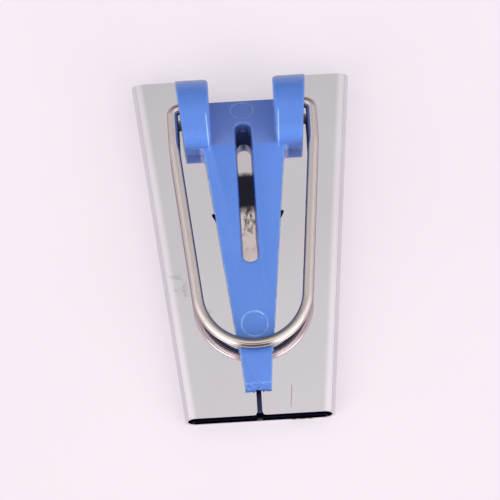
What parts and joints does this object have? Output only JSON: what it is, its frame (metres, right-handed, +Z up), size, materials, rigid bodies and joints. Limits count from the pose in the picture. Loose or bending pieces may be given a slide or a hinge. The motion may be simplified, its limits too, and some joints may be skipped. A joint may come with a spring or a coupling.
{
  "type": "bias tape maker",
  "caption": "Folded sheet metal sleeve that tapers to a narrow exit, with a plastic guide seated in its top gap and a hinged wire handle; folds a cloth strip into tape",
  "frame": {"origin": "middle of the footprint, on the plane that the flat underside of the metal shell rests on", "axes": "X across the tool, +Y from the narrow exit to the wide entry, +Z up through the guide"},
  "size_m": [0.0406, 0.065, 0.0128],
  "materials": {
    "plated_steel": "bright nickel plating with fine scuffs",
    "blue_plastic": "moulded blue plastic with a soft gloss",
    "plated_wire": "bright nickel plated wire"
  },
  "bodies": {
    "tool": {"metal_shell": "plated_steel", "folding_guide": "blue_plastic"},
    "bail": {"wire_bail": "plated_wire"}
  },
  "joints": [
    {"name": "bail_swing", "type": "hinge", "parent": "tool", "child": "bail", "pos_m": [0, 0.02523, 0.01051], "axis": [-1, 0, 0], "range_deg": [0, 150]}
  ]
}
